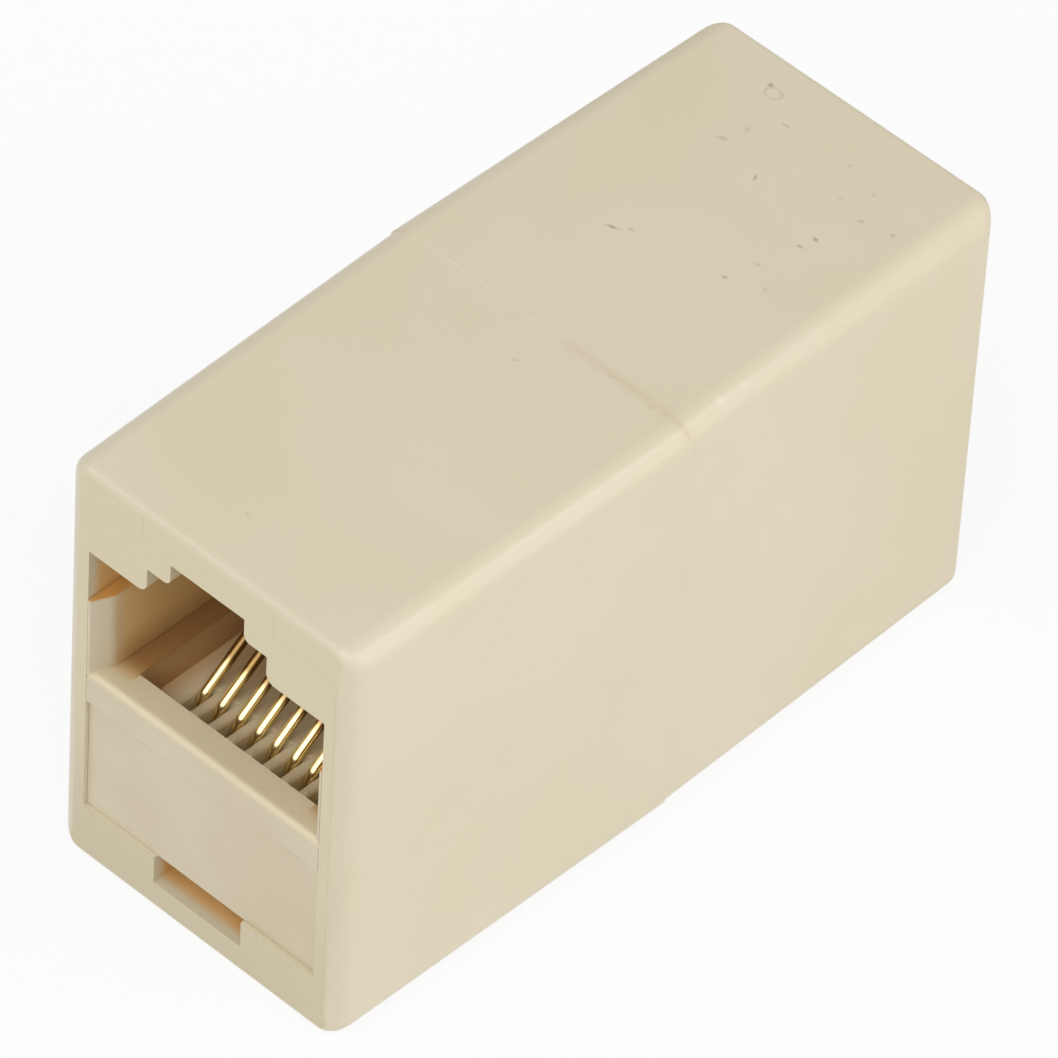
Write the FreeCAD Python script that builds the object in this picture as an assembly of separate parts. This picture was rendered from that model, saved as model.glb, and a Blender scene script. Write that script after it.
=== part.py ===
import FreeCAD, Part
import math
import os
from FreeCAD import Vector

# RJ45 inline coupler, straight through, in millimetres.
# X is the width, Y the length and Z the height. The origin is at the middle of the bottom face.
# The front port faces -Y. Each jack is drawn from its own port face, with depth measured inwards.

# Housing outside
side_wall_thickness = 1.5
top_wall_thickness = 1.5
floor_thickness = 2.95
side_draft = 0.33
top_draft = 0.14
long_edge_radius = 1.2
port_side_radius = 1.1
port_top_radius = 0.4
joint_mismatch = 0.08

# Housing inside
keeper_depth = 1.4
plug_room_height = 6.85
keyway_width = 6.6
keyway_rise = 1.35
latch_slot_width = 4.06
latch_slot_rise = 1.15
latch_slot_cover = 0.4
keyway_radius = 0.5
latch_slot_radius = 0.35
cavity_radius = 0.5
lead_room_floor = 1.6
lead_room_length = 8.1

# Release slot and catch pocket in the bottom wall
release_slot_width = 4.9
release_slot_height = 1.4
release_slot_depth = 2.6
catch_side_gap = 0.3
catch_end_gap = 0.5

# Stop ribs behind each insert
stop_rib_reach = 1.1
stop_rib_length = 1.6
stop_rib_drop = 0.25

# Lap joint between the two shells
lap_length = 1.5
tongue_thickness = 0.7
lap_gap = 0.1

# Jack insert
insert_fit = 0.02
panel_recess = 0.2
band_height = 1.6
lip_thickness = 1.45
lip_radius = 0.35
side_ledge_width = 1.53
side_wall = 1.1
insert_floor = 1.0
cheek_thickness = 0.57
cheek_rise = 4.15
lead_in_depth = 0.95
lead_in_edge = 0.12
lead_in_radius = 0.8

# Comb of ribs between the contacts
outer_rib_width = 1.134
comb_rise = 2.1
comb_sink = 1.65
comb_nose_depth = 2.35
comb_slot_gap = 0.03
comb_nose_radius = 0.6
comb_flank_radius = 0.3
rib_top_radius = 0.2
nose_share = 0.98

# Rear wall with the guide slots for the free ends
plug_stop_depth = 12.2
rear_wall_thickness = 2.1
rear_wall_step = 0.3
rear_wall_cover = 1.7
guide_slot_depth = 1.1
guide_slot_drop = 2.3

# Snap tongue under the insert
snap_width = 6.2
snap_root = 9.0
snap_cut_width = 0.5
barb_lift = 0.4
barb_length = 2.5

# Contact wires
contact_count = 8
contact_pitch = 1.016
contact_diameter = 0.46
contact_slope = 36.0
contact_bend_radius = 1.2
contact_reach = 3.45
contact_run_height = 6.9
contact_tip_reach = 0.7
groove_clearance = 0.07

# Crimp sleeves and leads
crimp_diameter = 0.92
crimp_length = 1.8
crimp_depth = 7.7
crimp_row_gap = 0.6
crimp_clearance = 0.02
crimp_room_gap = 0.24
crimp_room_margin = 0.3
deck_drop = 0.7
conductor_diameter = 0.4
lead_gap = 0.166
lead_room_margin = 0.3
twist_stations = 4
bend_share = 0.45

# Cuts run past a face by this much, and two points nearer than the tolerance are one
cut_past = 1.0
tolerance = 1e-6

# Widths, from the contacts outwards
comb_slot_width = contact_diameter + 2 * comb_slot_gap
comb_width = (contact_count - 1) * contact_pitch + comb_slot_width + 2 * outer_rib_width
insert_half_width = comb_width / 2 + side_ledge_width
aperture_width = 2 * (insert_half_width + insert_fit)
port_width = aperture_width + 2 * side_wall_thickness
crimp_room_width = (contact_count - 1) * contact_pitch + crimp_diameter + 2 * crimp_room_gap
lead_diameter = contact_pitch - lead_gap
catch_pocket_width = snap_width + 2 * catch_side_gap

# Lengths, from the port inwards
insert_depth = plug_stop_depth + rear_wall_thickness + rear_wall_step
half_length = insert_depth + lead_room_length / 2
contact_tip_depth = plug_stop_depth + contact_tip_reach
crimp_stagger = crimp_length + crimp_row_gap
catch_pocket_length = barb_length + catch_end_gap

# Heights, from the contacts up and down
insert_bottom = floor_thickness + insert_fit
barb_drop = release_slot_height + insert_fit - barb_lift
deck_underside = contact_run_height - deck_drop
crimp_room_top = contact_run_height + crimp_diameter / 2 + crimp_room_gap
comb_height = contact_run_height + comb_rise
ledge_height = comb_height + comb_sink
cheek_height = ledge_height + cheek_rise
stop_rib_height = ledge_height - stop_rib_drop
shoulder_height = ledge_height + plug_room_height
ceiling_height = shoulder_height + keyway_rise + latch_slot_rise + latch_slot_cover
port_height = ceiling_height + top_wall_thickness


def box(x0, x1, y0, y1, z0, z1):
    # A block between two opposite corners.
    return Part.makeBox(x1 - x0, y1 - y0, z1 - z0, Vector(x0, y0, z0))


def middle_box(width, y0, y1, z0, z1):
    # A block centred on the width.
    return box(-width / 2, width / 2, y0, y1, z0, z1)


def corner_cut(before, corner, after, radius):
    # Start, middle and end of the arc that rounds one corner of an outline.
    inward = (before - corner).normalize()
    onward = (after - corner).normalize()
    half_angle = inward.getAngle(onward) / 2
    reach = radius / math.tan(half_angle)
    bisector = (inward + onward).normalize()
    centre = corner + bisector * (radius / math.sin(half_angle))
    return corner + inward * reach, centre - bisector * radius, corner + onward * reach


def outline_face(corners):
    # A flat face from (point, radius) corners in order round the outline.
    edges = []
    points = []
    for index, (corner, radius) in enumerate(corners):
        before = corners[index - 1][0]
        after = corners[(index + 1) % len(corners)][0]
        if radius > 0:
            start, middle, end = corner_cut(before, corner, after, radius)
            edges.append(Part.Arc(start, middle, end).toShape())
            points.append((start, end))
        else:
            points.append((corner, corner))
    for index, (start, end) in enumerate(points):
        following = points[(index + 1) % len(points)][0]
        if end.distanceToPoint(following) > tolerance:
            edges.append(Part.LineSegment(end, following).toShape())
    return Part.Face(Part.Wire(Part.__sortEdges__(edges)))


def across_outline(corners):
    # An outline in the plane of the port, from (x, z, radius).
    return outline_face([(Vector(x, 0, z), radius) for x, z, radius in corners])


def side_outline(corners, x):
    # An outline seen from the side, from (depth, z, radius).
    return outline_face([(Vector(x, y, z), radius) for y, z, radius in corners])


def plan_outline(corners, z):
    # An outline seen from above, from (x, depth, radius).
    return outline_face([(Vector(x, y, z), radius) for x, y, radius in corners])


def joined(pieces):
    # One solid from pieces that touch or overlap.
    return pieces[0].multiFuse(pieces[1:]).removeSplitter()


def contact_places():
    # The contact lines across the jack, from left to right at the port.
    middle = (contact_count - 1) / 2
    return [(index - middle) * contact_pitch for index in range(contact_count)]


def contact_bend(x, inset=0):
    # Centre and middle of a contact's bend, and the point where it runs into the slope.
    # An inset gives these points on a line nearer to the centre.
    slope = math.radians(contact_slope)
    half_way = (math.pi - slope) / 2
    centre = Vector(x, contact_reach + contact_bend_radius, contact_run_height + contact_bend_radius)
    radius = contact_bend_radius - inset
    middle = centre - Vector(0, math.sin(half_way), math.cos(half_way)) * radius
    rise = centre + Vector(0, -math.sin(slope), math.cos(slope)) * radius
    return centre, middle, rise


def contact_height(depth):
    # Height of the sloping run's middle line at one depth.
    rise = contact_bend(0)[2]
    return rise.z + (depth - rise.y) * math.tan(math.radians(contact_slope))


def contact_clears(height):
    # Depth at which the sloping run has risen clear of one height.
    slope = math.radians(contact_slope)
    rise = contact_bend(0)[2]
    middle_line = height + (contact_diameter / 2 + groove_clearance) / math.cos(slope)
    return rise.y + (middle_line - rise.z) / math.tan(slope)


# Housing shell

def shell_blank():
    # The outside of one shell, drafted from the joint to the port, with its edges rounded.
    half_port = port_width / 2
    half_joint = half_port + side_draft
    plan = [(-half_port, 0, 0), (half_port, 0, 0)]
    plan += [(half_joint, half_length, 0), (-half_joint, half_length, 0)]
    height = port_height + top_draft
    side = [(0, 0, 0), (half_length, 0, 0), (half_length, height, 0), (0, port_height, 0)]
    upright = plan_outline(plan, 0).extrude(Vector(0, 0, height))
    sideways = side_outline(side, -half_joint).extrude(Vector(2 * half_joint, 0, 0))
    return round_shell_edges(upright.common(sideways))


def round_shell_edges(blank):
    # Long edges, port sides and port top and bottom each have their own radius.
    radii = []
    for number, edge in enumerate(blank.Edges, 1):
        start = edge.Vertexes[0].Point
        end = edge.Vertexes[-1].Point
        at_port = abs(start.y) < tolerance and abs(end.y) < tolerance
        at_joint = abs(start.y - half_length) < tolerance and abs(end.y - half_length) < tolerance
        if at_port and abs(end.z - start.z) > tolerance:
            radii.append((number, port_side_radius, port_side_radius))
        elif at_port:
            radii.append((number, port_top_radius, port_top_radius))
        elif not at_joint:
            radii.append((number, long_edge_radius, long_edge_radius))
    document = FreeCAD.newDocument("shell")
    plain = document.addObject("Part::Feature", "plain")
    plain.Shape = blank
    rounded = document.addObject("Part::Fillet", "rounded")
    rounded.Base = plain
    rounded.Edges = radii
    document.recompute()
    shape = rounded.Shape.copy()
    FreeCAD.closeDocument("shell")
    return shape


def port_opening():
    # The mouth of the port: full width below the shoulders, then the two steps of the keyway.
    half = aperture_width / 2
    key = keyway_width / 2
    slot = latch_slot_width / 2
    step = shoulder_height + keyway_rise
    top = step + latch_slot_rise
    corners = [(-half, floor_thickness, 0), (half, floor_thickness, 0), (half, shoulder_height, 0)]
    corners += [(key, shoulder_height, keyway_radius), (key, step, 0), (slot, step, latch_slot_radius)]
    corners += [(slot, top, 0), (-slot, top, 0), (-slot, step, latch_slot_radius), (-key, step, 0)]
    corners += [(-key, shoulder_height, keyway_radius), (-half, shoulder_height, 0)]
    return across_outline(corners).extrude(Vector(0, keeper_depth, 0))


def cavity(y0, y1, z0, grow):
    # A stretch of the inside, grown evenly on all sides, with rounded corners.
    half = aperture_width / 2 + grow
    radius = cavity_radius + grow
    low = z0 - grow
    high = ceiling_height + grow
    lower_radius = radius if z0 < floor_thickness else 0
    corners = [(-half, low, lower_radius), (half, low, lower_radius)]
    corners += [(half, high, radius), (-half, high, radius)]
    space = across_outline(corners).extrude(Vector(0, y1 - y0, 0))
    space.translate(Vector(0, y0, 0))
    return space


def stop_rib(side):
    # The rib on one side wall that the insert comes to rest against.
    wall = aperture_width / 2 + side_draft
    inner = aperture_width / 2 - stop_rib_reach
    start = insert_depth
    low = lead_room_floor - lap_gap
    rib = box(inner, wall, start, start + stop_rib_length, low, stop_rib_height)
    if side < 0:
        rib = rib.mirror(Vector(0, 0, 0), Vector(1, 0, 0))
    return rib


def housing_shell(with_tongue, shift):
    # One shell, open at the joint. One has the tongue of the lap joint and the other the rebate.
    outside = shell_blank()
    outside.translate(Vector(shift, 0, 0))
    slot_top = floor_thickness + cut_past
    slot_floor = floor_thickness - release_slot_height
    pocket_end = release_slot_depth + catch_pocket_length
    cuts = [port_opening()]
    cuts.append(cavity(keeper_depth, insert_depth, floor_thickness, 0))
    cuts.append(cavity(insert_depth, half_length, lead_room_floor, 0))
    cuts.append(middle_box(release_slot_width, 0, release_slot_depth, slot_floor, slot_top))
    cuts.append(middle_box(catch_pocket_width, release_slot_depth, pocket_end, slot_floor, slot_top))
    if not with_tongue:
        rebate_start = half_length - lap_length - lap_gap
        cuts.append(cavity(rebate_start, half_length, lead_room_floor, tongue_thickness + lap_gap))
    shell = outside.cut(cuts[0].multiFuse(cuts[1:]))
    pieces = [shell, stop_rib(1), stop_rib(-1)]
    if with_tongue:
        root = half_length - cut_past
        outer = cavity(root, half_length + lap_length, lead_room_floor, tongue_thickness)
        inner = cavity(root, half_length + lap_length, lead_room_floor, 0)
        pieces.append(outer.cut(inner))
    return joined(pieces)


# Jack insert

def insert_body():
    # Floor, side walls, front panel with its lip band, and the deck, as one block seen from the side.
    band_bottom = ledge_height - band_height
    profile = [(panel_recess, insert_bottom, 0), (insert_depth, insert_bottom, 0)]
    profile += [(insert_depth, ledge_height, 0), (0, ledge_height, lip_radius)]
    profile += [(0, band_bottom, 0), (panel_recess, band_bottom, 0)]
    block = side_outline(profile, -insert_half_width)
    return block.extrude(Vector(2 * insert_half_width, 0, 0))


def cheek(side):
    # The thin wall beside the plug, with a lead-in at the mouth.
    outer = insert_half_width
    inner = outer - cheek_thickness
    corners = [(outer, 0, 0), (outer - lead_in_edge, 0, 0), (inner, lead_in_depth, lead_in_radius)]
    corners += [(inner, plug_stop_depth, 0), (outer, plug_stop_depth, 0)]
    wall = plan_outline(corners, ledge_height).extrude(Vector(0, 0, cheek_height - ledge_height))
    if side < 0:
        wall = wall.mirror(Vector(0, 0, 0), Vector(1, 0, 0))
    return wall


def rear_wall():
    # The wall that stops the plug, with a guide slot for the free end of each contact.
    start = plug_stop_depth
    top = contact_height(contact_tip_depth) + rear_wall_cover
    slot_floor = contact_height(start) - guide_slot_drop
    slot_end = start + guide_slot_depth
    half_slot = comb_slot_width / 2
    wall = middle_box(2 * insert_half_width, start, start + rear_wall_thickness, ledge_height, top)
    slots = [box(x - half_slot, x + half_slot, start, slot_end, slot_floor, top) for x in contact_places()]
    return wall.cut(slots[0].multiFuse(slots[1:]))


def comb_ribs():
    # The ribs between the contacts, with noses rounded from above and from the side and soft tops.
    half_slot = comb_slot_width / 2
    back = contact_clears(comb_height)
    edges = [-comb_width / 2, comb_width / 2]
    edges += [x + side * half_slot for x in contact_places() for side in (-1, 1)]
    edges.sort()
    ribs = []
    for left, right in zip(edges[0::2], edges[1::2]):
        widest = (right - left) / 2 * nose_share
        flank = min(comb_flank_radius, widest)
        corners = [(left, comb_nose_depth, flank), (right, comb_nose_depth, flank)]
        corners += [(right, back, 0), (left, back, 0)]
        rib = plan_outline(corners, deck_underside).extrude(Vector(0, 0, comb_height - deck_underside))
        top = min(rib_top_radius, widest)
        left_top = top if left > edges[0] else 0
        right_top = top if right < edges[-1] else 0
        corners = [(left, deck_underside, 0), (right, deck_underside, 0)]
        corners += [(right, comb_height, right_top), (left, comb_height, left_top)]
        ribs.append(rib.common(across_outline(corners).extrude(Vector(0, back, 0))))
    profile = [(comb_nose_depth, deck_underside, 0), (back, deck_underside, 0)]
    profile += [(back, comb_height, 0), (comb_nose_depth, comb_height, comb_nose_radius)]
    envelope = side_outline(profile, -comb_width / 2).extrude(Vector(comb_width, 0, 0))
    return [rib.common(envelope) for rib in ribs]


def bend_former():
    # The bar across the comb that the contacts bend round, flush with the tops of the ribs.
    inset = contact_diameter / 2 + groove_clearance
    centre, middle, rise = contact_bend(-comb_width / 2, inset)
    foot = centre - Vector(0, 0, contact_bend_radius - inset)
    back = crimp_depth - crimp_room_margin
    top = Vector(centre.x, contact_clears(comb_height), comb_height)
    corners = [rise, top, Vector(centre.x, back, comb_height), Vector(centre.x, back, foot.z), foot]
    edges = [Part.LineSegment(a, b).toShape() for a, b in zip(corners, corners[1:])]
    edges.append(Part.Arc(foot, middle, rise).toShape())
    return Part.Face(Part.Wire(edges)).extrude(Vector(comb_width, 0, 0))


def insert_hollows():
    # Everything that is open in the block: the comb well, the grooves, the crimp room and the hollow floor.
    above = ledge_height + cut_past
    low = deck_underside
    half_groove = contact_diameter / 2 + groove_clearance
    groove_top = contact_run_height + half_groove
    comb_back = contact_clears(comb_height)
    room_start = crimp_depth - crimp_room_margin
    hollow_width = 2 * (insert_half_width - side_wall)
    floor_top = insert_bottom + insert_floor
    spaces = [middle_box(comb_width, lip_thickness, plug_stop_depth, comb_height, above)]
    spaces.append(middle_box(comb_width, lip_thickness, comb_back, low, above))
    spaces.append(middle_box(hollow_width, lip_thickness, insert_depth, floor_top, low))
    spaces.append(middle_box(crimp_room_width, room_start, insert_depth, low, crimp_room_top))
    for x in contact_places():
        spaces.append(box(x - half_groove, x + half_groove, comb_back, room_start, low, groove_top))
    return spaces


def snap_cuts():
    # The slots that free the snap tongue in the floor of the insert.
    low = insert_bottom - cut_past
    high = insert_bottom + insert_floor
    half = snap_width / 2
    tip_end = lip_thickness + snap_cut_width
    cuts = [middle_box(snap_width + 2 * snap_cut_width, lip_thickness, tip_end, low, high)]
    cuts.append(box(half, half + snap_cut_width, lip_thickness, snap_root, low, high))
    cuts.append(box(-half - snap_cut_width, -half, lip_thickness, snap_root, low, high))
    return cuts


def snap_barb():
    # The barb that drops into the catch pocket, steep to the port and sloped behind.
    front = release_slot_depth + insert_fit
    back = front + barb_length
    low = insert_bottom - barb_drop
    top = insert_bottom + insert_floor
    profile = [(front, top, 0), (front, low, 0), (back, insert_bottom, 0), (back, top, 0)]
    return side_outline(profile, -snap_width / 2).extrude(Vector(snap_width, 0, 0))


def jack_insert():
    hollows = insert_hollows() + snap_cuts()
    body = insert_body().cut(hollows[0].multiFuse(hollows[1:]))
    return joined([body, cheek(1), cheek(-1), rear_wall(), snap_barb(), bend_former()] + comb_ribs())


# Contacts, crimps and leads

def round_bar(edges, diameter):
    # A round section carried along a path of straight runs and tangent arcs.
    path = Part.Wire(edges)
    first = edges[0]
    start = first.valueAt(first.FirstParameter)
    direction = first.tangentAt(first.FirstParameter)
    section = Part.Wire([Part.Circle(start, direction, diameter / 2).toShape()])
    return path.makePipeShell([section], True, False)


def crimp_start(index):
    # The crimps stand in two rows, so that no bare sleeve lies beside another.
    return crimp_depth + crimp_stagger * (index % 2)


def contact_wire(index, x):
    # Back along the groove, forward round the bend, and up over the comb to the free end.
    centre, middle, rise = contact_bend(x)
    back = Vector(x, crimp_start(index) + crimp_length / 2, contact_run_height)
    turn = Vector(x, centre.y, contact_run_height)
    tip = Vector(x, contact_tip_depth, contact_height(contact_tip_depth))
    edges = [Part.LineSegment(back, turn).toShape(), Part.Arc(turn, middle, rise).toShape()]
    edges.append(Part.LineSegment(rise, tip).toShape())
    return round_bar(edges, contact_diameter)


def crimp_sleeve(index, x):
    start = Vector(x, crimp_start(index), contact_run_height)
    along = Vector(0, 1, 0)
    sleeve = Part.makeCylinder(crimp_diameter / 2, crimp_length, start, along)
    bore = Part.makeCylinder(contact_diameter / 2 + crimp_clearance, crimp_length, start, along)
    return sleeve.cut(bore)


def rounded_route(points):
    # Straight runs joined by tangent arcs, each as large as its two runs allow.
    edges = []
    radii = []
    last = points[0]
    for before, corner, after in zip(points, points[1:], points[2:]):
        inward = (before - corner).normalize()
        onward = (after - corner).normalize()
        half_angle = inward.getAngle(onward) / 2
        shorter = min(before.distanceToPoint(corner), corner.distanceToPoint(after))
        radius = bend_share * shorter * math.tan(half_angle)
        start, middle, end = corner_cut(before, corner, after, radius)
        edges.append(Part.LineSegment(last, start).toShape())
        edges.append(Part.Arc(start, middle, end).toShape())
        radii.append(round(radius, 2))
        last = end
    edges.append(Part.LineSegment(last, points[-1]).toShape())
    return edges, radii


def lead_points(index, x):
    # The eight leads turn half round the middle line as one flat ribbon, so that none meets another.
    start = crimp_start(index) + crimp_length - half_length
    straight = insert_depth + lead_room_margin - half_length
    points = [Vector(x, start, contact_run_height)]
    for station in range(twist_stations + 1):
        share = station / twist_stations
        angle = math.pi * share
        y = straight * (1 - 2 * share)
        points.append(Vector(x * math.cos(angle), y, contact_run_height + x * math.sin(angle)))
    points.append(Vector(-x, -start, contact_run_height))
    return points


def lead(index, x):
    # An insulated lead with a bare end in a crimp at each side.
    points = lead_points(index, x)
    edges, radii = rounded_route(points)
    cover = round_bar(edges, lead_diameter)
    length = sum(edge.Length for edge in edges)
    section = math.pi * lead_diameter ** 2 / 4
    print("lead", index + 1, "radii", radii, "length", round(length, 2), "volume ratio",
          round(cover.Volume / (section * length), 4))
    bare = crimp_length / 2 - crimp_clearance
    front = Part.makeCylinder(conductor_diameter / 2, bare, points[0], Vector(0, -1, 0))
    rear = Part.makeCylinder(conductor_diameter / 2, bare, points[-1], Vector(0, 1, 0))
    return joined([cover, front, rear])


def at_port(shape, end):
    # From a jack's own frame to its place: the rear jack is the front one turned half round.
    placed = shape.copy()
    placed.translate(Vector(0, -half_length, 0))
    if end == "rear":
        placed.rotate(Vector(0, 0, 0), Vector(0, 0, 1), 180)
    return placed


def write(name, shape):
    if len(shape.Solids) != 1 or not shape.isValid():
        raise ValueError(name + " is not one valid solid")
    shape.Solids[0].exportStep("parts/" + name + ".step")


def build():
    os.makedirs("parts", exist_ok=True)
    insert = jack_insert()
    for end in ("front", "rear"):
        write(end + "_housing", at_port(housing_shell(end == "rear", joint_mismatch / 2), end))
        write(end + "_jack_insert", at_port(insert, end))
        for index, x in enumerate(contact_places()):
            number = str(index + 1)
            write(end + "_contact_" + number, at_port(contact_wire(index, x), end))
            write(end + "_crimp_" + number, at_port(crimp_sleeve(index, x), end))
    for index, x in enumerate(contact_places()):
        write("lead_" + str(index + 1), lead(index, x))


build()
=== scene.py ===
import math
import bmesh
import bpy
from mathutils import Matrix, Vector

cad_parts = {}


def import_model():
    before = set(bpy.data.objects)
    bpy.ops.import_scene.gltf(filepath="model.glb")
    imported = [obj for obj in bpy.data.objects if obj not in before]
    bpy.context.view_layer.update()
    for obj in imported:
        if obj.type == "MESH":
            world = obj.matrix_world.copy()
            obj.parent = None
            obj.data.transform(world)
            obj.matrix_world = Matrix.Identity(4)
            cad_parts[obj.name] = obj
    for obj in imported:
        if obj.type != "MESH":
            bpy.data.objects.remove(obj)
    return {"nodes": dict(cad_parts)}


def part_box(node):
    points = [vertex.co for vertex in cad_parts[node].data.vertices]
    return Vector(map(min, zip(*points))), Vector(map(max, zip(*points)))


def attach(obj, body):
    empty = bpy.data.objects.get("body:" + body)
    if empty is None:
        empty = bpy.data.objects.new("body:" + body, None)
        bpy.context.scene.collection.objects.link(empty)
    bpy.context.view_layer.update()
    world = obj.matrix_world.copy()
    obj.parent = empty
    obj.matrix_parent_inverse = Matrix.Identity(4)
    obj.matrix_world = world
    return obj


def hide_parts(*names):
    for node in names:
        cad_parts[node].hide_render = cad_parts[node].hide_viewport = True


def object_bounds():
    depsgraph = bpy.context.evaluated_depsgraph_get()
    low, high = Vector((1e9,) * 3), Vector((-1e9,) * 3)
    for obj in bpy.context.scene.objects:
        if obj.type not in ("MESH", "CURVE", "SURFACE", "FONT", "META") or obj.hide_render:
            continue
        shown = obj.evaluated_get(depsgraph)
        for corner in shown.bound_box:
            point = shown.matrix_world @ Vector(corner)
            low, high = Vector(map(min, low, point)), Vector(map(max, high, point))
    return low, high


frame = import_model()
cadLow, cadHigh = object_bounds()
print("frame loaded with", len(frame["nodes"]), "nodes")

mm = 0.001
scene = bpy.context.scene
scene.view_settings.view_transform = "Standard"
middle = (cadLow + cadHigh) / 2


def srgb(red, green, blue):
    # a screen colour from 0 to 255, as the linear colour that a shader takes
    linear = []
    for part in (red, green, blue):
        share = part / 255
        linear.append(share / 12.92 if share <= 0.04045 else ((share + 0.055) / 1.055) ** 2.4)
    return (*linear, 1.0)


def addNode(tree, kind, inputs=None, **settings):
    # a node with its settings, and each input either linked or given a value
    node = tree.nodes.new(kind)
    for key, value in settings.items():
        setattr(node, key, value)
    for key, value in (inputs or {}).items():
        if isinstance(value, bpy.types.NodeSocket):
            tree.links.new(value, node.inputs[key])
        else:
            node.inputs[key].default_value = value
    return node


def math2(tree, operation, first, second=0.0, clamp=False):
    node = addNode(tree, "ShaderNodeMath", {0: first, 1: second}, operation=operation, use_clamp=clamp)
    return node.outputs[0]


def fade(tree, value, low, high, start=0.0, end=1.0):
    # eases from start to end as the value goes from low to high
    limits = {"Value": value, "From Min": low, "From Max": high, "To Min": start, "To Max": end}
    return addNode(tree, "ShaderNodeMapRange", limits, interpolation_type="SMOOTHSTEP").outputs["Result"]


def times(tree, first, *others):
    for other in others:
        first = math2(tree, "MULTIPLY", first, other)
    return first


def beyond(tree, value, limit, edge):
    # 1 past a limit and 0 before it, with a soft edge
    return fade(tree, value, limit, limit + edge)


def before(tree, value, limit, edge):
    return fade(tree, value, limit, limit + edge, 1.0, 0.0)


def noise(tree, point, scale, detail=3.0, roughness=0.5):
    inputs = {"Vector": point, "Scale": scale, "Detail": detail, "Roughness": roughness}
    return addNode(tree, "ShaderNodeTexNoise", inputs).outputs["Fac"]


def blendColour(tree, share, under, over):
    mix = addNode(tree, "ShaderNodeMix", {0: share}, data_type="RGBA")
    for index, colour in ((6, under), (7, over)):
        if isinstance(colour, bpy.types.NodeSocket):
            tree.links.new(colour, mix.inputs[index])
        else:
            mix.inputs[index].default_value = colour
    return mix.outputs[2]


def newMaterial(name):
    # an empty node material, its shader and its place on the object
    material = bpy.data.materials.new(name)
    material.use_nodes = True
    tree = material.node_tree
    tree.nodes.clear()
    shader = tree.nodes.new("ShaderNodeBsdfPrincipled")
    output = tree.nodes.new("ShaderNodeOutputMaterial")
    tree.links.new(shader.outputs["BSDF"], output.inputs["Surface"])
    place = tree.nodes.new("ShaderNodeTexCoord").outputs["Object"]
    return material, tree, shader, place


# Camera
cameraView = {
    "azimuth": 41.266, "elevation": 45.271, "roll": 3.608,  # degrees
    "aim": (0.179 * mm, -0.145 * mm, 10.712 * mm),
    "distance": 453.58 * mm,
    "lens": 382.09, "sensor": 36.0,
}


def makeCamera(view):
    azimuth, elevation, roll = (math.radians(view[key]) for key in ("azimuth", "elevation", "roll"))
    back = Vector((math.sin(azimuth) * math.cos(elevation), -math.cos(azimuth) * math.cos(elevation),
                   math.sin(elevation)))
    right = Vector((math.cos(azimuth), math.sin(azimuth), 0))
    up = back.cross(right)
    axes = Matrix((right, up, back)).transposed() @ Matrix.Rotation(roll, 3, "Z")
    data = bpy.data.cameras.new("photoCamera")
    data.lens = view["lens"]
    data.sensor_width = view["sensor"]
    camera = bpy.data.objects.new("photoCamera", data)
    scene.collection.objects.link(camera)
    camera.matrix_world = Matrix.Translation(Vector(view["aim"]) + back * view["distance"]) @ axes.to_4x4()
    scene.camera = camera


makeCamera(cameraView)
print("camera placed")


# Lamps and surroundings
lampRig = {
    "rightPanel": {"towards": (0.80, 0.30, 0.42), "width": 420 * mm, "height": 420 * mm, "light": 0.39},
    "frontPanel": {"towards": (-0.46, -0.55, 0.69), "width": 480 * mm, "height": 190 * mm, "light": 0.20},
    "nearPanel": {"towards": (0.34, -0.66, 0.67), "width": 400 * mm, "height": 400 * mm, "light": 0.37},
    "backPanel": {"towards": (0.51, 0.53, 0.68), "width": 110 * mm, "height": 110 * mm, "light": 0.055},
}
lampDistance = 450 * mm
skyLight = 0.41


def makeLamp(name, lamp):
    # light is what a white surface facing the lamp sends back
    away = Vector(lamp["towards"]).normalized()
    data = bpy.data.lights.new(name, "AREA")
    data.shape = "RECTANGLE"
    data.size = lamp["width"]
    data.size_y = lamp["height"]
    data.energy = lamp["light"] * (math.pi * lampDistance) ** 2
    obj = bpy.data.objects.new(name, data)
    scene.collection.objects.link(obj)
    obj.location = middle + away * lampDistance
    obj.rotation_mode = "QUATERNION"
    obj.rotation_quaternion = away.to_track_quat("Z", "Y")


def seenRays(tree):
    # 1 for what the camera sees, straight or by a reflection, and 0 for the light on the object
    path = tree.nodes.new("ShaderNodeLightPath")
    seen = math2(tree, "ADD", path.outputs["Is Camera Ray"], path.outputs["Is Glossy Ray"], clamp=True)
    return math2(tree, "ADD", seen, path.outputs["Is Transmission Ray"], clamp=True)


def makeWorld():
    world = bpy.data.worlds.new("studio")
    scene.world = world
    world.use_nodes = True
    tree = world.node_tree
    tree.nodes.clear()
    seen = seenRays(tree)
    light = addNode(tree, "ShaderNodeBackground", {"Color": (1, 1, 1, 1), "Strength": skyLight})
    white = addNode(tree, "ShaderNodeBackground", {"Color": (1, 1, 1, 1), "Strength": 1.0})
    mix = addNode(tree, "ShaderNodeMixShader", {0: seen, 1: light.outputs[0], 2: white.outputs[0]})
    output = tree.nodes.new("ShaderNodeOutputWorld")
    tree.links.new(mix.outputs[0], output.inputs["Surface"])


for lampName, lampValues in lampRig.items():
    makeLamp(lampName, lampValues)
makeWorld()
print("lamps and world set")


# Floor
floorLook = {
    "radius": 900 * mm, "sides": 48, "drop": 0.02 * mm,
    "bounce": 0.82,       # how much light it sends back to the object
    "shadowShare": 0.14,  # how much of its brightness a shadow can take away
    "nearRadius": 60 * mm, "farRadius": 220 * mm,
}


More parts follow.
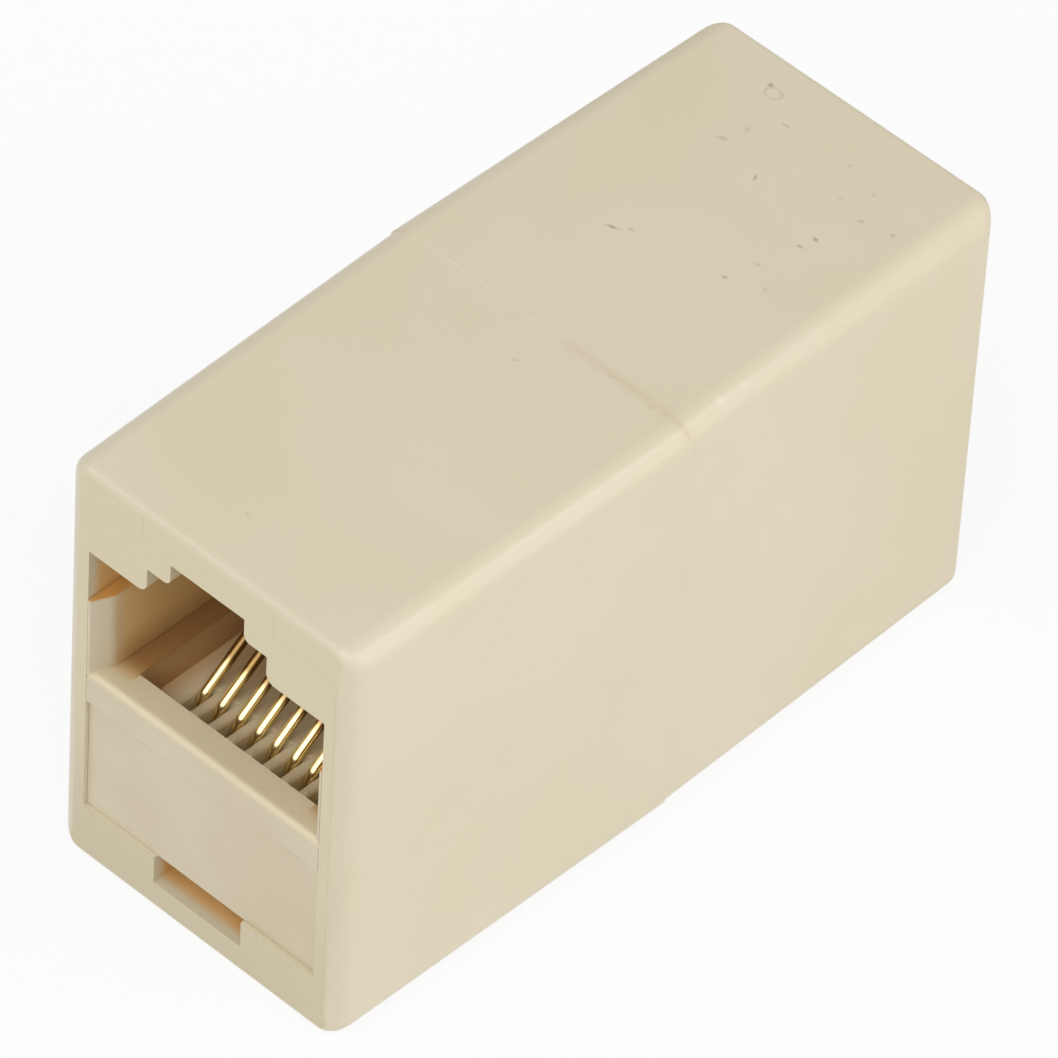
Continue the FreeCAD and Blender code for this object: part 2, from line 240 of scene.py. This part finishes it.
def makeFloor(look):
    material = bpy.data.materials.new("paleFloor")
    material.use_nodes = True
    tree = material.node_tree
    tree.nodes.clear()
    place = tree.nodes.new("ShaderNodeTexCoord").outputs["Object"]
    reach = addNode(tree, "ShaderNodeVectorMath", {0: place}, operation="LENGTH").outputs["Value"]
    share = fade(tree, reach, look["nearRadius"], look["farRadius"], look["shadowShare"], 0.0)
    bounce = look["bounce"]
    plain = addNode(tree, "ShaderNodeBsdfDiffuse", {"Color": (bounce, bounce, bounce, 1)})
    lit = addNode(tree, "ShaderNodeBsdfDiffuse", {"Color": (1, 1, 1, 1)})
    glow = addNode(tree, "ShaderNodeEmission", {"Color": (1, 1, 1, 1), "Strength": 1.0})
    shown = addNode(tree, "ShaderNodeMixShader", {0: share, 1: glow.outputs[0], 2: lit.outputs[0]})
    mix = addNode(tree, "ShaderNodeMixShader", {0: seenRays(tree), 1: plain.outputs[0], 2: shown.outputs[0]})
    output = tree.nodes.new("ShaderNodeOutputMaterial")
    tree.links.new(mix.outputs[0], output.inputs["Surface"])
    shape = bmesh.new()
    bmesh.ops.create_circle(shape, cap_ends=True, segments=look["sides"], radius=look["radius"])
    bmesh.ops.translate(shape, verts=shape.verts, vec=(0, 0, -look["drop"]))
    mesh = bpy.data.meshes.new("floor")
    shape.to_mesh(mesh)
    shape.free()
    mesh.materials.append(material)
    floor = bpy.data.objects.new("floor", mesh)
    scene.collection.objects.link(floor)


makeFloor(floorLook)
print("floor laid")


# Ivory plastic of the housing and the inserts
housingLook = {
    "colour": srgb(223, 212, 186), "cloud": srgb(220, 209, 180), "cloudScale": 90.0,
    "roughness": (0.285, 0.33), "glossScale": 540.0,
    "grainScale": 5200.0, "grainDepth": 0.004 * mm, "waveScale": 160.0, "waveDepth": 0.02 * mm,
}
insertLook = {
    "colour": srgb(220, 208, 180), "cloud": srgb(212, 198, 168), "cloudScale": 140.0,
    "roughness": (0.28, 0.37), "glossScale": 840.0,
    "grainScale": 5200.0, "grainDepth": 0.004 * mm, "waveScale": 220.0, "waveDepth": 0.015 * mm,
}
# Painted shade: the port's inner walls are painted browner, standing in for the dim light that reaches them only off
# the other walls
housingPaintedShade = {
    "colour": srgb(230, 184, 120), "halfWidth": 6.52 * mm, "low": 0.5 * mm, "high": 20.44 * mm, "edge": 0.1 * mm,
    "shoulder": 17.38 * mm, "upperShare": 0.35, "start": 0.2 * mm, "full": 0.8 * mm,
}
# The port faces are a little yellower, more so low down
faceTone = {
    "colour": srgb(220, 208, 174), "low": srgb(211, 199, 167), "from": 9.0 * mm, "to": 1.0 * mm,
    "faceDepth": 0.05 * mm,
}
# The rear shell is duller than the front one
rearGloss = {"from": -1.0 * mm, "to": 19.0 * mm, "added": 0.24}
# Painted light and shade on the insert: a lighter comb and lip top, browner painted shade towards the back and on
# the side walls, darker painted shadow on the ledges and well walls, and an orange painted shade on top of the
# cheeks, with the widths, heights and depths in from the port face where they change
insertPaintedShading = {
    "recessShade": srgb(230, 190, 128), "recessShadeStart": 3.4 * mm, "recessShadeFull": 9.0 * mm, "recessShadeShare": 0.8,
    "comb": srgb(243, 229, 194), "combHalfWidth": 4.86 * mm, "combHeight": 9.4 * mm, "combStart": 1.5 * mm,
    "shadeStart": 4.0 * mm, "shadeShare": 0.6, "sideStart": 0.5 * mm, "sideFull": 1.9 * mm,
    "lipLow": 10.35 * mm, "lipTop": 10.6 * mm, "lipShare": 0.7,
    "ledgeShadow": srgb(168, 126, 78), "ledgeLow": 10.56 * mm, "ledgeHigh": 10.7 * mm,
    "ledgeStart": 0.8 * mm, "ledgeFull": 2.2 * mm, "footHeight": 12.3 * mm, "footShare": 0.5,
    "wall": srgb(200, 158, 106), "cheekTopShade": srgb(222, 168, 96), "cheekHeight": 14.7 * mm, "edge": 0.06 * mm,
}
markColour = srgb(166, 150, 116)
residueColour = srgb(203, 181, 150)
# pale of the bond residue on the joint and of the painted glints on the right top edge
paleResidueAndGlint = srgb(236, 229, 205)


def plasticBase(name, look):
    # shared by housing and insert: clouded colour, uneven gloss and a faint moulded grain
    material, tree, shader, place = newMaterial(name)
    cloud = fade(tree, noise(tree, place, look["cloudScale"], 2.0, 0.55), 0.35, 0.7)
    colour = blendColour(tree, cloud, look["colour"], look["cloud"])
    low, high = look["roughness"]
    gloss = fade(tree, noise(tree, place, look["glossScale"], 2.0, 0.6), 0.3, 0.75, low, high)
    wave = times(tree, noise(tree, place, look["waveScale"], 1.0), look["waveDepth"])
    grain = times(tree, noise(tree, place, look["grainScale"], 0.0), look["grainDepth"])
    height = math2(tree, "ADD", wave, grain)
    return material, tree, shader, place, colour, gloss, height


def finishPlastic(tree, shader, colour, gloss, height):
    bump = addNode(tree, "ShaderNodeBump", {"Height": height, "Distance": 1.0, "Strength": 1.0})
    tree.links.new(colour, shader.inputs["Base Color"])
    tree.links.new(gloss, shader.inputs["Roughness"])
    tree.links.new(bump.outputs["Normal"], shader.inputs["Normal"])


def portDepth(tree, axes):
    # how far in from the nearer port face
    return math2(tree, "SUBTRACT", cadHigh.y, math2(tree, "ABSOLUTE", axes["Y"]))


def housingShadeShare(tree, axes, look):
    # painted shade on the inner walls, in full below the shoulders and faintly above them
    edge = look["edge"]
    within = before(tree, math2(tree, "ABSOLUTE", axes["X"]), look["halfWidth"], edge)
    above = beyond(tree, axes["Z"], look["low"], edge)
    below = before(tree, axes["Z"], look["high"], edge)
    lower = fade(tree, axes["Z"], look["shoulder"], look["shoulder"] + edge, 1.0, look["upperShare"])
    deeper = fade(tree, portDepth(tree, axes), look["start"], look["full"])
    return times(tree, within, above, below, lower, deeper)


def paintInsertShading(tree, axes, colour, look):
    # painted light and shade: lighter in the comb and on the lip top, browner painted shade towards its back and
    # side walls, dark painted shadow on the ledges and orange painted shade on top of the cheeks
    depth, height, edge = portDepth(tree, axes), axes["Z"], look["edge"]
    across = math2(tree, "ABSOLUTE", axes["X"])
    aside = beyond(tree, across, look["combHalfWidth"], edge)
    belowLip = before(tree, height, look["ledgeHigh"], edge)
    # painted light: the comb and the lip top are lighter than the rest of the insert
    comb = times(tree, before(tree, height, look["combHeight"], edge), beyond(tree, depth, look["combStart"], edge))
    onLip = times(tree, fade(tree, height, look["lipLow"], look["lipTop"], 0.0, look["lipShare"]), belowLip,
                  before(tree, depth, look["combStart"], edge))
    colour = blendColour(tree, math2(tree, "MAXIMUM", comb, onLip), colour, look["comb"])
    # painted shade: browner on the side walls, towards the back and near the sides of the comb
    sides = times(tree, aside, fade(tree, depth, look["sideStart"], look["sideFull"]))
    back = fade(tree, depth, look["recessShadeStart"], look["recessShadeFull"], 0.0, look["recessShadeShare"])
    shade = times(tree, comb, fade(tree, across, look["shadeStart"], look["combHalfWidth"], 0.0, look["shadeShare"]))
    recessShade = math2(tree, "MAXIMUM", sides, math2(tree, "MAXIMUM", back, shade))
    colour = blendColour(tree, recessShade, colour, look["recessShade"])
    # painted shadow on the ledges, and on the well walls below them
    ledgeShadow = times(tree, aside, belowLip, fade(tree, depth, look["ledgeStart"], look["ledgeFull"]))
    wall = blendColour(tree, beyond(tree, height, look["ledgeLow"], edge), look["wall"], look["ledgeShadow"])
    colour = blendColour(tree, ledgeShadow, colour, wall)
    # painted shade low on the cheeks, just above the ledges
    footShade = times(tree, aside, fade(tree, height, look["ledgeHigh"], look["footHeight"], look["footShare"], 0.0),
                 fade(tree, depth, look["sideStart"], look["ledgeFull"]), math2(tree, "SUBTRACT", 1.0, belowLip))
    colour = blendColour(tree, footShade, colour, look["ledgeShadow"])
    # painted orange shade on top of the cheeks, under the shoulders
    return blendColour(tree, beyond(tree, height, look["cheekHeight"], edge), colour, look["cheekTopShade"])


# Scuffs on the top face: x and y of the middle, half length, half width (mm), turn (degrees), strength
topScuffs = {
    "longDash": (-1.93, 6.15, 0.44, 0.13, 17, 0.75), "shortDash": (-1.28, 6.58, 0.33, 0.11, 8, 0.45),
    "pit": (0.0, 12.48, 0.30, 0.11, -50, 0.6), "ringSpot": (-3.25, 16.95, 0.22, 0.18, 20, 0.75),
    "dotA": (-2.48, 13.19, 0.50, 0.20, 35, 0.42), "dotB": (-2.11, 14.27, 0.42, 0.24, -60, 0.32),
    "dotC": (-1.25, 15.60, 0.38, 0.13, 0, 0.45), "dotD": (4.16, 11.55, 0.30, 0.12, -20, 0.6),
    "dotE": (4.02, 10.82, 0.30, 0.12, 5, 0.5), "dotF": (3.54, 8.81, 0.19, 0.17, 0, 0.4),
    "dotG": (3.17, 7.33, 0.21, 0.16, 30, 0.55), "dotH": (4.74, 7.99, 0.20, 0.16, 0, 0.36),
    "dotI": (2.17, 15.79, 0.22, 0.14, 0, 0.32), "dotJ": (3.20, 14.07, 0.30, 0.14, 10, 0.4),
    "dotK": (4.05, 15.23, 0.24, 0.16, -30, 0.36), "dotL": (4.70, 13.63, 0.28, 0.16, 30, 0.45),
    "dotM": (6.17, 14.00, 0.21, 0.15, 0, 0.45), "dotN": (0.65, -2.16, 0.20, 0.16, 0, 0.4),
    "dotO": (-0.66, -15.87, 0.20, 0.16, 0, 0.32), "seamSpotA": (3.91, -0.13, 0.28, 0.14, 20, 0.25),
    "seamSpotB": (6.24, -0.28, 0.21, 0.16, 0, 0.28), "seamSpotC": (6.84, -0.06, 0.19, 0.16, 60, 0.25),
}
ringScuff = (-2.85, 16.65, 0.47, 0.36, 0, 1.0)
# Pale specks on the right top edge, behind the joint: painted glints where bond residue breaks up the edge highlight
edgeGlints = {"glintA": (7.70, 2.20, 0.42, 0.30, 75, 0.5), "glintB": (7.75, 3.60, 0.55, 0.24, 80, 0.32)}
# The heights above which the marks show, and the wobble that roughens their outlines
markLook = {
    "topHeight": 21.3 * mm, "glintHeight": 20.6 * mm, "heightFade": 0.2 * mm,
    "wobbleScale": 2600.0, "wobble": 0.25 * mm,
}


def ovalMark(tree, point, mark):
    # falls from the mark's strength at its middle to nothing at its rim
    x, y, length, width, turn, strength = mark
    values = {"Vector": point, "Location": (x * mm, y * mm, 0), "Rotation": (0, 0, math.radians(turn)),
              "Scale": (length * mm, width * mm, 1.0)}
    local = addNode(tree, "ShaderNodeMapping", values, vector_type="TEXTURE").outputs[0]
    core = addNode(tree, "ShaderNodeTexGradient", {"Vector": local}, gradient_type="SPHERICAL").outputs[1]
    return times(tree, core, strength)


def markMask(tree, point, table):
    # the strongest of a table's marks at each point
    marks = [ovalMark(tree, point, mark) for mark in table.values()]
    strongest = marks[0]
    for mark in marks[1:]:
        strongest = math2(tree, "MAXIMUM", strongest, mark)
    return fade(tree, strongest, 0.02, 0.72)


def ringMask(tree, point):
    core = ovalMark(tree, point, ringScuff)
    return times(tree, fade(tree, core, 0.0, 0.12), fade(tree, core, 0.2, 0.4, 0.5, 0.0))


def roughened(tree, place, look):
    # the place on the object, pushed about a little
    wobble = addNode(tree, "ShaderNodeTexNoise", {"Vector": place, "Scale": look["wobbleScale"], "Detail": 1.0})
    drift = addNode(tree, "ShaderNodeVectorMath", {0: wobble.outputs["Color"], 1: (0.5, 0.5, 0.5)},
                    operation="SUBTRACT")
    small = addNode(tree, "ShaderNodeVectorMath", {0: drift.outputs[0], "Scale": look["wobble"]}, operation="SCALE")
    return addNode(tree, "ShaderNodeVectorMath", {0: place, 1: small.outputs[0]}, operation="ADD").outputs[0]


# Residue of the bond along the joint: pale on the left of the top and brown on the right
seamLook = {
    "halfWidth": 0.12 * mm, "strength": 0.34, "onSides": 0.1, "breakScale": 700.0,
    "turnPoint": 1.3 * mm, "turnWidth": 0.8 * mm, "stainWidth": 0.5 * mm, "stain": 0.22,
}


def seamMarks(tree, place, axes, onTop, colour, look):
    off = math2(tree, "ABSOLUTE", axes["Y"])
    line = fade(tree, off, 0.0, look["halfWidth"], look["strength"], 0.0)
    broken = fade(tree, noise(tree, place, look["breakScale"], 2.0, 0.6), 0.38, 0.62)
    line = times(tree, line, broken, fade(tree, onTop, 0.0, 1.0, look["onSides"], 1.0))
    turn, width = look["turnPoint"], look["turnWidth"]
    brownPart = fade(tree, axes["X"], turn - width, turn + width)
    stain = times(tree, fade(tree, off, 0.0, look["stainWidth"], look["stain"], 0.0), brownPart, onTop)
    colour = blendColour(tree, stain, colour, residueColour)
    return blendColour(tree, line, colour, blendColour(tree, brownPart, paleResidueAndGlint, residueColour))


# The faint line that a mould insert left round the port
witnessLook = {
    "colour": srgb(186, 172, 140), "halfWidth": 7.05 * mm, "height": 20.15 * mm, "neckHalfWidth": 3.6 * mm,
    "line": 0.05 * mm, "strength": 0.27, "faceDepth": 0.03 * mm,
}


def witnessLine(tree, axes):
    look = witnessLook
    across = math2(tree, "ABSOLUTE", axes["X"])
    body = math2(tree, "MAXIMUM", math2(tree, "SUBTRACT", across, look["halfWidth"]),
                 math2(tree, "SUBTRACT", axes["Z"], look["height"]))
    either = math2(tree, "MINIMUM", body, math2(tree, "SUBTRACT", across, look["neckHalfWidth"]))
    line = fade(tree, math2(tree, "ABSOLUTE", either), 0.0, look["line"], look["strength"], 0.0)
    onFace = fade(tree, portDepth(tree, axes), 0.0, look["faceDepth"], 1.0, 0.0)
    return times(tree, line, onFace)


def makeHousingPlastic(look):
    material, tree, shader, place, colour, gloss, height = plasticBase("ivoryHousing", look)
    axes = addNode(tree, "ShaderNodeSeparateXYZ", {0: place}).outputs
    onFace = fade(tree, portDepth(tree, axes), 0.0, faceTone["faceDepth"], 1.0, 0.0)
    lower = fade(tree, axes["Z"], faceTone["to"], faceTone["from"])
    tone = blendColour(tree, lower, faceTone["low"], faceTone["colour"])
    colour = blendColour(tree, onFace, colour, tone)
    # painted shade on the port's inner walls
    colour = blendColour(tree, housingShadeShare(tree, axes, housingPaintedShade), colour, housingPaintedShade["colour"])
    colour = blendColour(tree, witnessLine(tree, axes), colour, witnessLook["colour"])
    point = roughened(tree, place, markLook)
    onTop = beyond(tree, axes["Z"], markLook["topHeight"], markLook["heightFade"])
    onEdge = beyond(tree, axes["Z"], markLook["glintHeight"], markLook["heightFade"])
    colour = seamMarks(tree, place, axes, onTop, colour, seamLook)
    colour = blendColour(tree, times(tree, ringMask(tree, point), onTop), colour, residueColour)
    colour = blendColour(tree, times(tree, markMask(tree, point, topScuffs), onTop), colour, markColour)
    # painted glints on the right top edge
    colour = blendColour(tree, times(tree, markMask(tree, point, edgeGlints), onEdge), colour, paleResidueAndGlint)
    duller = fade(tree, axes["Y"], rearGloss["from"], rearGloss["to"], 0.0, rearGloss["added"])
    gloss = math2(tree, "ADD", gloss, duller)
    finishPlastic(tree, shader, colour, gloss, height)
    return material


def makeInsertPlastic(look):
    material, tree, shader, place, colour, gloss, height = plasticBase("ivoryInsert", look)
    axes = addNode(tree, "ShaderNodeSeparateXYZ", {0: place}).outputs
    colour = paintInsertShading(tree, axes, colour, insertPaintedShading)
    finishPlastic(tree, shader, colour, gloss, height)
    return material


# Metals
goldLook = {
    "colour": srgb(236, 218, 166), "dull": srgb(220, 200, 146), "scale": 260.0,
    "roughness": (0.17, 0.24), "roughScale": 780.0,
}
# Painted shade on the contact wires: past this depth in from the port face the gold turns dull bronze, standing in
# for their darker reflection deep in the port and for the end of the gold plate
platingEndAndShade = {"bare": srgb(146, 118, 74), "start": 4.65 * mm, "end": 5.2 * mm}
crimpLook = {
    "colour": srgb(196, 193, 184), "dull": srgb(150, 146, 136), "scale": 1500.0,
    "roughness": (0.28, 0.48), "roughScale": 4500.0,
}


def makeMetal(name, look, shadedPlatingEnd=None):
    material, tree, shader, place = newMaterial(name)
    shader.inputs["Metallic"].default_value = 1.0
    stretched = addNode(tree, "ShaderNodeMapping", {"Vector": place, "Scale": (1.0, 0.25, 1.0)}).outputs[0]
    tone = fade(tree, noise(tree, stretched, look["scale"], 2.0, 0.6), 0.35, 0.8)
    colour = blendColour(tree, tone, look["colour"], look["dull"])
    if shadedPlatingEnd:
        # painted shade: the wires turn dull bronze deep in the port
        depth = portDepth(tree, addNode(tree, "ShaderNodeSeparateXYZ", {0: place}).outputs)
        colour = blendColour(tree, fade(tree, depth, shadedPlatingEnd["start"], shadedPlatingEnd["end"]), colour, shadedPlatingEnd["bare"])
    tree.links.new(colour, shader.inputs["Base Color"])
    low, high = look["roughness"]
    gloss = fade(tree, noise(tree, stretched, look["roughScale"], 1.0), 0.3, 0.8, low, high)
    tree.links.new(gloss, shader.inputs["Roughness"])
    return material


# Insulation of the leads
leadColours = {
    "blue": (38, 92, 170), "orange": (226, 126, 44), "black": (38, 36, 36), "red": (190, 44, 40),
    "green": (48, 132, 70), "yellow": (226, 196, 60), "brown": (112, 72, 44), "grey": (156, 158, 158),
}
insulationLook = {
    "fadedShare": 0.82, "fadeScale": 1100.0, "roughness": (0.42, 0.58), "roughScale": 2600.0,
    "bumpScale": 3200.0, "bumpDepth": 0.006 * mm,
}


def makeInsulation(name, colour, look):
    material, tree, shader, place = newMaterial("insulation_" + name)
    faded = tuple(look["fadedShare"] * part for part in colour[:3]) + (1.0,)
    tone = fade(tree, noise(tree, place, look["fadeScale"], 3.0), 0.35, 0.7)
    tree.links.new(blendColour(tree, tone, colour, faded), shader.inputs["Base Color"])
    low, high = look["roughness"]
    gloss = fade(tree, noise(tree, place, look["roughScale"], 2.0), 0.3, 0.7, low, high)
    tree.links.new(gloss, shader.inputs["Roughness"])
    height = noise(tree, place, look["bumpScale"], 2.0)
    bump = addNode(tree, "ShaderNodeBump", {"Height": height, "Distance": look["bumpDepth"]})
    tree.links.new(bump.outputs["Normal"], shader.inputs["Normal"])
    return material


def dress(node, material):
    slots = frame["nodes"][node].data.materials
    slots.clear()
    slots.append(material)


housingPlastic = makeHousingPlastic(housingLook)
insertPlastic = makeInsertPlastic(insertLook)
gold = makeMetal("goldPlate", goldLook, platingEndAndShade)
tin = makeMetal("tinnedBrass", crimpLook)
print("materials made")

contactCount = 8
for end in ("front", "rear"):
    dress(end + "_housing", housingPlastic)
    dress(end + "_jack_insert", insertPlastic)
    for number in range(1, contactCount + 1):
        dress(f"{end}_crimp_{number}", tin)
for number, (leadName, leadColour) in enumerate(leadColours.items(), 1):
    dress(f"lead_{number}", makeInsulation(leadName, srgb(*leadColour), insulationLook))
print("fixed parts dressed")


# Contact springs: eight bent wires for each jack
springLook = {
    "wireRadius": 0.23 * mm, "bendRadius": 1.2 * mm, "slope": 36.0, "bendSteps": 16, "sides": 20,
    "tipRound": 0.26 * mm, "tipSteps": 5, "spread": 0.02 * mm, "seed": 4,
}


def springPath(end, number, look):
    # the middle line of one wire in the y and z plane, from inside its crimp to its free tip
    low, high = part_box(f"{end}_contact_{number}")
    crimpLow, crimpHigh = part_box(f"{end}_crimp_{number}")
    radius, bend, slope = look["wireRadius"], look["bendRadius"], math.radians(look["slope"])
    inward = 1 if end == "front" else -1
    outer, inner = (low.y, high.y) if end == "front" else (high.y, low.y)
    runHeight = low.z + radius
    centre = Vector((0, outer + inward * (radius + bend), runHeight + bend))
    tip = Vector((0, inner - inward * radius * math.sin(slope), high.z - radius * math.cos(slope)))
    points = [Vector((0, (crimpLow.y + crimpHigh.y) / 2, runHeight))]
    for step in range(look["bendSteps"] + 1):
        angle = (math.pi - slope) * step / look["bendSteps"]
        points.append(centre + Vector((0, -inward * math.sin(angle), -math.cos(angle))) * bend)
    onward = (tip - points[-1]).normalized()
    for step in range(look["tipSteps"] + 1):
        left = 1 - math.sin(math.pi / 2 * step / look["tipSteps"])
        points.append(tip - onward * look["tipRound"] * left)
    return points


def springTree(look):
    tree = bpy.data.node_groups.new("contactSprings", "GeometryNodeTree")
    face = tree.interface
    face.new_socket("Geometry", in_out="INPUT", socket_type="NodeSocketGeometry")
    sockets = {}
    kinds = {"Count": "Int", "Sides": "Int", "Seed": "Int", "Wire Radius": "Float", "Tip Round": "Float",
             "Spread": "Float", "First": "Vector", "Pitch": "Vector", "Metal": "Material"}
    for label, kind in kinds.items():
        sockets[label] = face.new_socket(label, in_out="INPUT", socket_type="NodeSocket" + kind)
    face.new_socket("Geometry", in_out="OUTPUT", socket_type="NodeSocketGeometry")
    given = tree.nodes.new("NodeGroupInput").outputs
    curves = addNode(tree, "GeometryNodeMeshToCurve", {"Mesh": given["Geometry"]}).outputs[0]
    index = tree.nodes.new("GeometryNodeInputIndex").outputs[0]
    apart = addNode(tree, "GeometryNodeSplitToInstances", {"Geometry": curves, "Group ID": index}, domain="CURVE")
    # the free end is rounded: the radius follows a quarter circle over the last stretch
    along = tree.nodes.new("GeometryNodeSplineParameter").outputs["Length"]
    total = tree.nodes.new("GeometryNodeSplineLength").outputs["Length"]
    left = math2(tree, "SUBTRACT", total, along)
    share = math2(tree, "SUBTRACT", 1.0, math2(tree, "DIVIDE", left, given["Tip Round"]), clamp=True)
    rest = math2(tree, "SUBTRACT", 1.0, math2(tree, "MULTIPLY", share, share))
    quarter = math2(tree, "SQRT", math2(tree, "MAXIMUM", rest, 0.002))
    radius = math2(tree, "MULTIPLY", quarter, given["Wire Radius"])
    ring = addNode(tree, "GeometryNodeCurvePrimitiveCircle", {"Resolution": given["Sides"], "Radius": 1.0})
    wire = addNode(tree, "GeometryNodeCurveToMesh", {"Curve": apart.outputs["Instances"],
                   "Profile Curve": ring.outputs["Curve"], "Scale": radius, "Fill Caps": True})
    row = addNode(tree, "GeometryNodeMeshLine", {"Count": given["Count"], "Start Location": given["First"],
                  "Offset": given["Pitch"]}, mode="OFFSET")
    away = addNode(tree, "ShaderNodeCombineXYZ", {"X": given["Spread"], "Z": given["Spread"]}).outputs[0]
    back = addNode(tree, "ShaderNodeVectorMath", {0: away, "Scale": -1.0}, operation="SCALE").outputs[0]
    chance = addNode(tree, "FunctionNodeRandomValue", {0: back, 1: away, "Seed": given["Seed"]},
                     data_type="FLOAT_VECTOR")
    loose = addNode(tree, "GeometryNodeSetPosition", {"Geometry": row.outputs[0], "Offset": chance.outputs[0]})
    other = math2(tree, "MODULO", index, 2.0)
    placed = addNode(tree, "GeometryNodeInstanceOnPoints", {"Points": loose.outputs[0], "Instance": wire.outputs[0],
                     "Pick Instance": True, "Instance Index": other})
    whole = addNode(tree, "GeometryNodeRealizeInstances", {"Geometry": placed.outputs[0]})
    smooth = addNode(tree, "GeometryNodeSetShadeSmooth", {"Geometry": whole.outputs[0]})
    coated = addNode(tree, "GeometryNodeSetMaterial", {"Geometry": smooth.outputs[0], "Material": given["Metal"]})
    output = tree.nodes.new("NodeGroupOutput")
    tree.links.new(coated.outputs[0], output.inputs["Geometry"])
    return tree, {label: socket.identifier for label, socket in sockets.items()}


def makeSprings(end, tree, identifiers, look):
    # the base mesh holds the two kinds of wire, with a near crimp and with a far one
    names = [f"{end}_contact_{number}" for number in range(1, contactCount + 1)]
    places = [sum((corner.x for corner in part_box(name))) / 2 for name in (names[0], names[-1])]
    base = bpy.data.meshes.new(end + "_contact_springs")
    points, edges = [], []
    for number in (1, 2):
        path = springPath(end, number, look)
        edges += [(len(points) + i, len(points) + i + 1) for i in range(len(path) - 1)]
        points += path
    base.from_pydata(points, edges, [])
    piece = bpy.data.objects.new(end + "_contact_springs", base)
    scene.collection.objects.link(piece)
    modifier = piece.modifiers.new("springs", "NODES")
    modifier.node_group = tree
    values = {"Count": contactCount, "Sides": look["sides"], "Seed": look["seed"], "Spread": look["spread"],
              "Wire Radius": look["wireRadius"], "Tip Round": look["tipRound"], "Metal": gold,
              "First": (places[0], 0, 0), "Pitch": ((places[1] - places[0]) / (contactCount - 1), 0, 0)}
    for label, value in values.items():
        modifier[identifiers[label]] = value
    bpy.context.view_layer.update()
    evaluated = piece.evaluated_get(bpy.context.evaluated_depsgraph_get())
    finished = bpy.data.meshes.new_from_object(evaluated)
    piece.modifiers.remove(modifier)
    piece.data = finished
    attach(piece, "root")
    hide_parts(*names)
    return piece


springNodes, springInputs = springTree(springLook)
for end in ("front", "rear"):
    springs = makeSprings(end, springNodes, springInputs, springLook)
    print(springs.name, len(springs.data.polygons), "faces")
